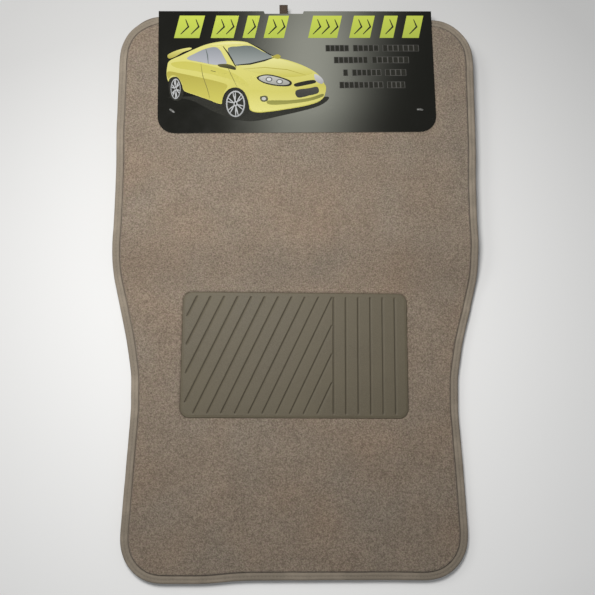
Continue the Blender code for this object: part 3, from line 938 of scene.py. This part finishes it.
def notch_points(depth):
    """The hang notch, right to left, cut down from the line y = 0."""
    return [(NOTCH_RIGHT, 0.0), (NOTCH_RIGHT - NOTCH_TAPER, -depth),
            (NOTCH_LEFT + NOTCH_TAPER, -depth), (NOTCH_LEFT, 0.0)]


def panel_outline(notch):
    left = FOLD.left
    right = FOLD.right
    foot = -FOLD.length
    round_left = arc_points((left + CARD_CORNER, foot + CARD_CORNER), CARD_CORNER, 180, 270)
    round_right = arc_points((right - CARD_CORNER, foot + CARD_CORNER), CARD_CORNER, 270, 360)
    return [(left, 0.0)] + round_left + round_right + [(right, 0.0)] + notch


def cut_grid(shape, step):
    """Cuts a flat mesh along a square grid, so that it can follow a wave."""
    for axis in (0, 1):
        values = [v.co[axis] for v in shape.verts]
        line = math.ceil(min(values) / step) * step
        while line < max(values):
            place = Vector((0, 0, 0))
            normal = Vector((0, 0, 0))
            place[axis] = line
            normal[axis] = 1
            geometry = shape.verts[:] + shape.edges[:] + shape.faces[:]
            bmesh.ops.bisect_plane(shape, geom=geometry, dist=1e-6, plane_co=place,
                                   plane_no=normal)
            line += step


def flat_shape(outline):
    """A bmesh of triangles that fill one outline."""
    shape = bmesh.new()
    corners = [shape.verts.new((x, y, 0.0)) for x, y in outline]
    for triangle in tessellate_polygon([[Vector((x, y, 0.0)) for x, y in outline]]):
        shape.faces.new([corners[k] for k in triangle])
    bmesh.ops.recalc_face_normals(shape, faces=shape.faces)
    if sum(f.normal.z * f.calc_area() for f in shape.faces) < 0:
        bmesh.ops.reverse_faces(shape, faces=shape.faces)
    return shape


def glow_at(x, y):
    """Strength of the grey glow printed behind the picture."""
    u = (x - FOLD.left) / (FOLD.right - FOLD.left)
    v = -y / FOLD.length
    crest = 0.575 - 0.06 * v
    across = np.exp(-np.abs((u - crest) / (0.20 - 0.02 * v)) ** 2.2)
    down = 1 - 0.35 * smoothstep(0.70, 1.0, v) - 0.12 * smoothstep(0.25, 0.0, v)
    return across * down


def card_sheet(name, outline, place, printed=False, outer_up=True):
    """One panel of the card, mitred at its creases; the printed one waves and has the glow."""
    shape = flat_shape(outline)
    cut_grid(shape, CARD_GRID)
    vertices = np.array([v.co for v in shape.verts])
    shape.verts.index_update()
    faces = [[v.index for v in f.verts] for f in shape.faces]
    shape.free()
    if printed:
        vertices[:, 2] = panel_wave(vertices[:, 0], vertices[:, 1])
    count = len(vertices)
    inner = vertices - np.array((0, 0, CARD_THICK))
    high = inner[:, 1] > max(y for _, y in outline) - 1e-6
    inner[high, 1] -= CARD_THICK
    edges = {(a, b) for face in faces for a, b in zip(face, face[1:] + face[:1])}
    under = [[count + v for v in reversed(face)] for face in faces]
    sides = [[b, a, count + a, count + b] for a, b in sorted(edges) if (b, a) not in edges]
    points = np.concatenate([vertices, inner])
    obj = mesh_object(name, points, faces + under + sides, [CARD, BOARD], smooth=False)
    bare = np.arange(len(obj.data.polygons)) >= len(faces)
    obj.data.polygons.foreach_set("material_index", bare.astype(int))
    tint = glow_at(points[:, 0], points[:, 1]) if printed else np.zeros(len(points))
    set_attribute(obj, "glow", "FLOAT", "POINT", tint)
    if not outer_up:
        obj.data.transform(Matrix.Scale(-1, 4, (0, 0, 1)))
        obj.data.flip_normals()
    obj.data.transform(place)
    return obj


def make_card():
    front = card_sheet("card_front_panel", panel_outline(notch_points(NOTCH_IN_PANEL)),
                       FOLD.place, printed=True)
    finish_piece(front, "card_front", "printed_card", "header_card_front")

    outline = [(FOLD.left, -FOLD.drop), (FOLD.right, -FOLD.drop), (FOLD.right, 0.0)]
    outline += notch_points(NOTCH_IN_SPINE) + [(FOLD.left, 0.0)]
    outline = [(-x, y) for x, y in outline][::-1]
    upright = Matrix.Rotation(math.radians(90), 4, "X")
    flip = Matrix.Rotation(math.radians(180), 4, "Z")
    spine = card_sheet("card_spine_panel", outline, FOLD.place @ flip @ upright)
    finish_piece(spine, "card_spine", "printed_card", "header_card_spine")

    low = FOLD.place @ Matrix.Translation((0, 0, -FOLD.drop))
    back = card_sheet("card_back_panel", panel_outline([]), low, outer_up=False)
    finish_piece(back, "card_back", "plain_board", "header_card_back")


# ---------------------------------------------------------------- printed picture

LIME = (0.455, 0.525, 0.066)
LIME_EDGE = (0.350, 0.425, 0.054)
BLACK = (0.004, 0.004, 0.004)
TYRE = (0.007, 0.007, 0.007)
ALLOY = (0.385, 0.392, 0.400)
YELLOW_LIGHT = (0.562, 0.533, 0.174)
YELLOW = (0.444, 0.411, 0.078)
YELLOW_DEEP = (0.326, 0.285, 0.044)
GLASS_LIGHT = (0.252, 0.274, 0.274)
GLASS_DARK = (0.104, 0.126, 0.126)
LAMP = (0.407, 0.407, 0.385)
INK_STEP = 0.00005


def smooth_loop(points, steps=7):
    """Closed curve through the points (Catmull-Rom)."""
    points = [Vector(p) for p in points]
    count = len(points)
    loop = []
    for k in range(count):
        a, b, c, d = (points[(k + j) % count] for j in (-1, 0, 1, 2))
        for step in range(steps):
            t = step / steps
            loop.append(0.5 * (2 * b + (c - a) * t + (2 * a - 5 * b + 4 * c - d) * t * t
                               + (3 * b - a - 3 * c + d) * t ** 3))
    return [(p.x, p.y) for p in loop]


def ellipse(center, rx, ry, steps=36):
    return [(center[0] + rx * math.cos(2 * math.pi * k / steps),
             center[1] + ry * math.sin(2 * math.pi * k / steps)) for k in range(steps)]


def heading(points, k):
    """Direction of a line of points at its k-th one."""
    return (points[min(k + 1, len(points) - 1)] - points[max(k - 1, 0)]).normalized()


def stroke(points, width):
    """Outline of a line of some width that tapers to its ends."""
    points = [Vector(p) for p in points]
    sides = ([], [])
    for k, point in enumerate(points):
        along = heading(points, k)
        half = width / 2 * (0.4 if k in (0, len(points) - 1) else 1.0)
        normal = Vector((-along.y, along.x)) * half
        sides[0].append(tuple(point + normal))
        sides[1].append(tuple(point - normal))
    return sides[0] + sides[1][::-1]


class Picture:
    """Ink shapes on the front panel, drawn in millimetres right and down from its top left."""

    def __init__(self):
        self.vertices = []
        self.faces = []
        self.paint = []

    def fill(self, outline, upper, lower=None, level=1):
        """One shape, its colour running from upper to lower down its height."""
        lower = lower or upper
        places = [(FOLD.left + u * MM, -v * MM) for u, v in outline]
        shape = flat_shape(places)
        cut_grid(shape, CARD_GRID)
        shape.verts.index_update()
        high = max(v.co.y for v in shape.verts)
        low = min(v.co.y for v in shape.verts)
        height = INK_LIFT + level * INK_STEP
        base = len(self.vertices)
        for vertex in shape.verts:
            x, y = vertex.co.xy
            self.vertices.append((x, y, float(panel_wave(x, y)) + height))
        for face in shape.faces:
            self.faces.append([base + v.index for v in face.verts])
            for vertex in face.verts:
                share = (high - vertex.co.y) / max(high - low, 1e-9)
                self.paint.append([a + (b - a) * share for a, b in zip(upper, lower)] + [1.0])
        shape.free()

    def loop(self, points, upper, lower=None, level=1):
        """A smooth shape through the points."""
        self.fill(smooth_loop(points), upper, lower, level)

    def line(self, points, width, color, level=1):
        """A tapered line."""
        self.fill(stroke(points, width), color, level=level)

    def finish(self, name):
        obj = mesh_object(name, self.vertices, self.faces, [INK], smooth=False)
        set_attribute(obj, "paint", "FLOAT_COLOR", "CORNER", self.paint)
        obj.data.transform(FOLD.place)
        return obj


def draw_title(picture):
    """Two rows of tyre tread lugs where a pack like this has its title."""
    groups = [(19, 57), (64, 99), (103, 125), (129, 161), (184, 227), (235, 268), (273, 297),
              (301, 329)]
    top = 6.0
    foot = 35.5
    middle = (top + foot) / 2
    lean = 7.0
    for left, right in groups:
        lug = [(left + lean, top), (right, top), (right - lean, foot), (left, foot)]
        picture.fill(lug, LIME, LIME_EDGE, level=1)
        bars = round((right - left) / 12)
        for bar in range(1, bars):
            u = left + (right - left) * bar / bars
            sipe = [(u + lean / 2 - 2, top + 5), (u + lean / 2 + 1.5, middle),
                    (u - lean / 2 - 1, foot - 5)]
            picture.line(sipe, 2.4, BLACK, level=2)


def draw_text_bars(picture):
    """Four lines of blank word blocks."""
    lines = [(49.0, 206, (29, 32, 45)), (64.5, 216, (42, 46)), (81.0, 227, (6, 36, 26)),
             (97.0, 222, (54, 22))]
    for middle, start, words in lines:
        u = start
        for word in words:
            halo = [(u - 0.7, middle - 4.2), (u + word - 0.7, middle - 4.2),
                    (u + word - 0.5, middle + 4.2), (u - 0.7, middle + 4.2)]
            picture.fill(halo, (0.068, 0.065, 0.063), level=1)
            blocks = max(1, round(word / 6.2))
            pitch = word / blocks
            for block in range(blocks):
                left = u + block * pitch
                half = 3.6 if block % 3 else 3.9
                cell = [(left, middle - half), (left + pitch - 1.5, middle - half),
                        (left + pitch - 1.1, middle + half), (left, middle + half)]
                picture.fill(cell, BLACK, level=2)
            u += word + 5.0


def draw_wheel(picture, center, rx, ry, level):
    """Tyre, rim, split spokes and hub, seen at a slant."""
    picture.fill(ellipse(center, rx * 1.16, ry * 1.12), TYRE, level=level)
    picture.fill(ellipse(center, rx * 0.96, ry * 0.94), ALLOY, (0.266, 0.274, 0.281), level + 1)
    picture.fill(ellipse(center, rx * 0.82, ry * 0.84), TYRE, level=level + 2)
    for angle in 0.35 + 2 * math.pi * np.arange(6) / 6:
        for side in (-0.16, 0.16):
            near = (center[0] + 0.14 * rx * math.cos(angle), center[1] + 0.14 * ry * math.sin(angle))
            far = (center[0] + 0.88 * rx * math.cos(angle + side),
                   center[1] + 0.90 * ry * math.sin(angle + side))
            middle = ((near[0] + far[0]) / 2, (near[1] + far[1]) / 2)
            picture.line([near, middle, far], 1.5, ALLOY, level=level + 3)
    picture.fill(ellipse(center, rx * 0.20, ry * 0.20, 16), ALLOY, level=level + 4)
    picture.fill(ellipse(center, rx * 0.10, ry * 0.10, 12), TYRE, level=level + 5)


def draw_car(picture):
    """A plain two-door coupe of no make, three quarters from the front."""
    shadow = [(13, 112), (40, 116), (75, 134), (110, 143), (150, 136), (195, 124), (207, 112),
              (170, 118), (120, 124), (70, 112)]
    picture.loop(shadow, (0.007, 0.007, 0.007), level=1)
    wing = [(12, 57), (24, 51), (38, 48), (40, 50), (30, 54), (20, 60), (13, 62)]
    picture.loop(wing, YELLOW_LIGHT, YELLOW_DEEP, level=2)
    body = [(14, 65), (28, 58), (44, 50), (60, 43.5), (78, 40), (96, 39.5), (111, 42), (127, 51),
            (142, 60), (160, 65), (178, 72), (193, 81), (201, 91), (204, 102), (202, 112),
            (194, 119), (178, 124), (156, 128), (136, 131), (120, 132), (111, 128), (109, 116),
            (104, 105), (95, 100), (86, 102), (80, 110), (77, 121), (60, 115), (44, 109),
            (32, 104), (29, 96), (25, 88), (18, 86), (13, 92), (10.5, 84), (11, 73)]
    picture.loop(body, YELLOW_LIGHT, YELLOW, level=3)
    flank = [(12, 79), (30, 82), (52, 87), (72, 92), (84, 97), (80, 106), (77, 119), (60, 114),
             (44, 108), (32, 103), (29, 94), (24, 86), (17, 84), (12.5, 88)]
    picture.loop(flank, YELLOW_DEEP, YELLOW, level=4)
    shoulder = [(16, 68), (34, 66), (56, 70), (78, 76), (96, 84), (110, 96), (104, 98),
                (90, 90), (70, 84), (44, 78), (22, 74)]
    picture.loop(shoulder, YELLOW, (0.474, 0.444, 0.104), level=5)
    nose = [(112, 104), (136, 106), (162, 103), (186, 98), (203, 96), (203.5, 108), (196, 117),
            (176, 123), (150, 128), (122, 131), (112, 126)]
    picture.loop(nose, YELLOW, YELLOW_LIGHT, level=4)
    hood = [(100, 73), (120, 68), (141, 62.5), (158, 66), (176, 73), (189, 81), (168, 86),
            (140, 85), (116, 80)]
    picture.loop(hood, (0.592, 0.570, 0.237), YELLOW, level=5)
    crease = [(104, 76), (130, 74), (158, 77), (180, 84)]
    picture.line(crease, 0.9, YELLOW_DEEP, level=6)
    side_glass = [(35, 62.5), (46, 55), (58, 49.5), (69, 47.5), (75, 51), (80, 60), (83, 69),
                  (70, 70.5), (52, 67)]
    picture.loop(side_glass, (0.222, 0.237, 0.266), (0.340, 0.348, 0.385), level=6)
    picture.line([(58, 49.5), (60, 58), (61, 69)], 1.5, GLASS_DARK, level=7)
    screen = [(85, 50), (98, 46.5), (113, 46), (126, 52.5), (139, 60.5), (122, 66.5), (102, 70.5),
              (94, 70)]
    picture.loop(screen, GLASS_DARK, GLASS_LIGHT, level=6)
    picture.line([(94, 71), (112, 69.5), (130, 65), (141, 61)], 2.0, BLACK, level=7)
    picture.line([(79, 46.5), (85, 55), (90, 64), (95, 74)], 1.8, BLACK, level=7)
    picture.line([(110, 41.5), (122, 48), (136, 57), (145, 61)], 1.3, BLACK, level=7)
    roof = [(62, 45), (78, 41.8), (96, 41), (108, 43), (92, 44), (76, 45)]
    picture.loop(roof, (0.622, 0.607, 0.311), YELLOW_LIGHT, level=6)
    picture.line([(52, 69), (54, 84), (60, 102), (63, 114)], 0.8, (0.163, 0.148, 0.037),
                 level=6)
    picture.line([(84, 72), (89, 84), (96, 99)], 0.8, (0.163, 0.148, 0.037), level=6)
    picture.line([(64, 78), (70, 79.5)], 1.4, BLACK, level=7)
    mirror = [(73, 70), (84, 69.5), (93, 73), (94, 77), (84, 75), (75, 73)]
    picture.loop(mirror, (0.074, 0.067, 0.022), BLACK, level=8)
    picture.loop([(140, 60), (146, 57), (150, 60), (146, 63)], YELLOW_DEEP, level=8)
    lamp = [(120, 87), (132, 83), (148, 86), (162, 92), (160, 98), (144, 98), (128, 94)]
    picture.loop(lamp, BLACK, level=6)
    lamp_glass = [(122.5, 87.5), (132, 84.5), (147, 87.3), (159.5, 92.8), (157, 96.5),
                  (144, 96.5), (129, 92.8)]
    picture.loop(lamp_glass, LAMP, (0.266, 0.266, 0.244), level=7)
    for center in ((135, 89.5), (148, 92.5)):
        picture.fill(ellipse(center, 4.2, 3.3, 20), (0.089, 0.089, 0.089), level=8)
        picture.fill(ellipse(center, 2.8, 2.2, 16), (0.488, 0.496, 0.488), level=9)
    far_lamp = [(191, 83), (198, 86), (202, 92), (199, 95.5), (192, 91)]
    picture.loop(far_lamp, (0.459, 0.459, 0.474), (0.296, 0.296, 0.311), level=7)
    grille = [(166, 95.5), (178, 92), (190, 90.5), (192, 94), (180, 97), (168, 99)]
    picture.loop(grille, BLACK, level=7)
    intake = [(168, 104), (184, 101), (194, 99.5), (195, 107), (184, 110.5), (170, 113)]
    picture.loop(intake, (0.041, 0.041, 0.041), (0.022, 0.022, 0.022), level=7)
    lip = [(134, 117), (160, 116.5), (184, 113.5), (200, 108.5), (200, 112), (184, 117.5),
           (160, 121), (136, 122)]
    picture.loop(lip, (0.148, 0.148, 0.033), (0.252, 0.244, 0.052), level=7)
    picture.loop([(124, 112), (132, 111), (133, 117), (126, 118)],
                 (0.074, 0.074, 0.037), level=7)
    picture.fill(ellipse((128.5, 114.5), 2.6, 2.2, 16), LAMP, level=8)
    rear_arch = [(13, 92), (17, 86.5), (23, 87), (28, 95), (31, 106), (29, 114), (22, 117),
                 (15, 111)]
    picture.loop(rear_arch, BLACK, level=5)
    front_arch = [(78, 122), (80, 109), (87, 101.5), (96, 100), (104, 105), (109, 117),
                  (110, 130), (100, 137), (86, 134)]
    picture.loop(front_arch, BLACK, level=5)
    draw_wheel(picture, (21.5, 101.5), 6.2, 14.0, 9)
    draw_wheel(picture, (94.0, 121.0), 12.0, 18.0, 9)


def make_picture():
    picture = Picture()
    draw_title(picture)
    draw_text_bars(picture)
    draw_car(picture)
    obj = picture.finish("card_printing")
    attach(obj, "card_front")


# ---------------------------------------------------------------- hang loop and tag pins

LOOP_TAPE = 0.0008
PIN_BOW = 0.0007
PIN_HEAD_WIDE = 0.00125
PIN_HEAD_TALL = 0.00042
PIN_RADIUS = 0.0003
PIN_BAR_RADIUS = 0.00045

# Cross bar of a pin: (share of its half length, share of its radius).
PIN_BAR = [(-1, 0.35), (-0.92, 0.85), (-0.6, 1), (0, 1), (0.6, 1), (0.92, 0.85), (1, 0.35)]


def flat_ring(start, end, radius):
    """Rows (out, up, normal out, normal up) along a ring with two straight sides."""
    path = []
    for near, far, side in ((start, end, 1), (end, start, -1)):
        path += [(out, side * radius, 0.0, side) for out in np.linspace(near, far, 13)]
        for angle in np.radians(90 * (2 - side) - 15 * np.arange(1, 12)):
            path.append((far + radius * math.cos(angle), radius * math.sin(angle),
                         math.cos(angle), math.sin(angle)))
    return path


def point_out(obj):
    """Turns the faces of a closed mesh outwards."""
    shape = bmesh.new()
    shape.from_mesh(obj.data)
    if shape.calc_volume(signed=True) < 0:
        obj.data.flip_normals()
    shape.free()


def make_hang_loop():
    """Folded woven strip: a flat ring of ribbed tape, seen edge on from the side."""
    low, high, _ = box_of("hang_loop")
    joint = joint_named("loop_swing")
    along = Vector(joint["axis"]).normalized()
    out = Vector((-along.y, along.x, 0.0))
    origin = Vector(joint["pos_m"])
    places = [v.co - origin for v in frame["nodes"]["hang_loop"].data.vertices]
    reach = [place.dot(out) for place in places]
    side = [place.dot(along) for place in places]
    half = (high.z - low.z) / 2
    path = flat_ring(min(reach) + half, max(reach) - half, half - LOOP_TAPE / 2)
    widths = np.linspace(min(side), max(side), 9)
    ribs = 1 + 0.10 * np.cos(2.4 * np.arange(len(widths)))
    ribs[[0, -1]] *= 0.72
    cross = np.concatenate([widths, widths[::-1]])
    offsets = LOOP_TAPE / 2 * np.concatenate([ribs, -ribs[::-1]])
    vertices = []
    for along_out, height, normal_out, normal_up in path:
        for across, offset in zip(cross, offsets):
            place = origin + along * across + out * (along_out + normal_out * offset)
            place.z += height + normal_up * offset
            vertices.append(place)
    faces = ring_faces(len(path), len(cross))
    obj = mesh_object("hang_loop_tape", vertices, faces, [LOOP], shade=np.zeros(1))
    point_out(obj)
    ring = faces[:, 0] // len(cross)
    number = np.stack([ring, ring, ring + 1, ring + 1], -1)
    weave = np.stack([number * 0.001, cross[faces % len(cross)], 0 * number], -1)
    set_attribute(obj, "tape", "FLOAT_VECTOR", "CORNER", weave)
    finish_piece(obj, "hang_loop", "hang_tape", "hang_loop")


def rod(points, radii, sides=12):
    """Vertices and faces of a round rod, with a radius pair (across, up) at each point."""
    points = [Vector(p) for p in points]
    rings = []
    for k, (wide, tall) in enumerate(radii):
        along = heading(points, k)
        side = along.cross(Vector((0, 0, 1)))
        if side.length < 0.1:
            side = Vector((1, 0, 0))
        side.normalize()
        up = along.cross(side)
        rings.append([points[k] + side * wide * math.cos(angle) + up * tall * math.sin(angle)
                      for angle in 2 * math.pi * np.arange(sides) / sides])
    return tubes(np.array([rings]))


def bar_line(node, shares, heights):
    """Places along a node's long axis, at shares -1 to 1 of its half length."""
    points = np.array([v.co for v in frame["nodes"][node].data.vertices])
    middle = (points.max(0) + points.min(0)) / 2
    flat = points[:, :2] - middle[:2]
    direction = np.linalg.eigh(flat.T @ flat)[1][:, -1]
    half = np.abs(flat @ direction).max()
    return np.column_stack([middle[:2] + direction * half * shares[:, None], heights])


def make_pin_head(side):
    """Bowed bar of a tag pin, resting on the card at its two ends."""
    node = "tag_pin_head_" + side
    shares = np.linspace(-1, 1, 17)
    bow = PIN_BOW * (1 - shares ** 2)
    end = np.sqrt(1 - shares ** 6)
    radii = np.column_stack([0.0001 + PIN_HEAD_WIDE * end, 0.0001 + PIN_HEAD_TALL * end])
    line = bar_line(node, shares, box_of(node)[0].z + 0.0004 + bow)
    obj = mesh_object("tag_pin_bar_" + side, *rod(line, radii), [NYLON])
    finish_piece(obj, "card_front", "nylon", node)


def make_pin(side):
    """Filament up from the cross bar under the back panel."""
    node = "tag_pin_" + side
    low, high, middle = box_of(node)
    foot = low.z + PIN_BAR_RADIUS
    shares, tapers = np.array(PIN_BAR).T
    bar = rod(bar_line(node, shares, np.full(len(PIN_BAR), foot)),
              np.column_stack([tapers, tapers]) * PIN_BAR_RADIUS)
    sway = np.random.default_rng(31).uniform(-0.0001, 0.0001, (9, 2))
    line = np.column_stack([np.array(middle.xy) + sway, np.linspace(foot, high.z, 9)])
    stem = rod(line, [(PIN_RADIUS, PIN_RADIUS)] * 9)
    obj = mesh_object("tag_pin_filament_" + side, *joined(bar, stem), [NYLON])
    finish_piece(obj, "card_back", "nylon", node)


# ---------------------------------------------------------------- the whole pack

def make_mats():
    shown = SHOWN_GRID
    hidden = HIDDEN_GRID
    for seed, prefix in enumerate(("driver_mat", "passenger_mat", "rear_left_mat",
                                   "rear_right_mat")):
        form = MatForm(prefix)
        on_top = prefix == "driver_mat"
        make_pile(form, *(shown if on_top else hidden), 10 * seed + 5)
        make_tape(form, 1 if on_top else 3)
        make_stitches(form)
        make_backing(form)
        if on_top:
            make_heel_pad(form)


# ---------------------------------------------------------------- floor, light and camera

def area_light(name, place, target, size, power, color):
    data = bpy.data.lights.new(name, "AREA")
    data.shape = "DISK"
    data.size = size
    data.energy = power
    data.color = color
    obj = bpy.data.objects.new(name, data)
    obj.location = place
    obj.rotation_euler = (Vector(target) - Vector(place)).to_track_quat("-Z", "Y").to_euler()
    bpy.context.scene.collection.objects.link(obj)


def make_stage():
    bpy.ops.mesh.primitive_plane_add(size=6.0, location=(0, 0, 0))
    floor = bpy.context.object
    floor.name = "studio_floor"
    floor.data.materials.append(floor_material("studio_floor"))
    world = bpy.data.worlds.new("studio")
    world.use_nodes = True
    background = world.node_tree.nodes["Background"]
    background.inputs["Color"].default_value = (0.96, 0.98, 1.0, 1.0)
    seen = put(world.node_tree, "LightPath").outputs["Is Camera Ray"]
    strength = math_node(world.node_tree, "MULTIPLY", seen, WORLD_SEEN - WORLD_LIGHT)
    strength = math_node(world.node_tree, "ADD", strength, WORLD_LIGHT)
    world.node_tree.links.new(strength, background.inputs["Strength"])
    bpy.context.scene.world = world
    for light in LIGHTS:
        area_light(*light)
    bpy.context.scene.view_settings.view_transform = "Standard"


def make_camera():
    data = bpy.data.cameras.new("camera")
    data.sensor_width = SENSOR_WIDTH
    data.lens = CAMERA_LENS
    data.clip_start = 0.01
    camera = bpy.data.objects.new("camera", data)
    camera.location = CAMERA_PLACE
    camera.rotation_euler = CAMERA_TURN
    bpy.context.scene.collection.objects.link(camera)
    bpy.context.scene.camera = camera


make_mats()
make_card()
make_picture()
make_hang_loop()
for pin_side in ("left", "right"):
    make_pin_head(pin_side)
    make_pin(pin_side)
make_stage()
make_camera()
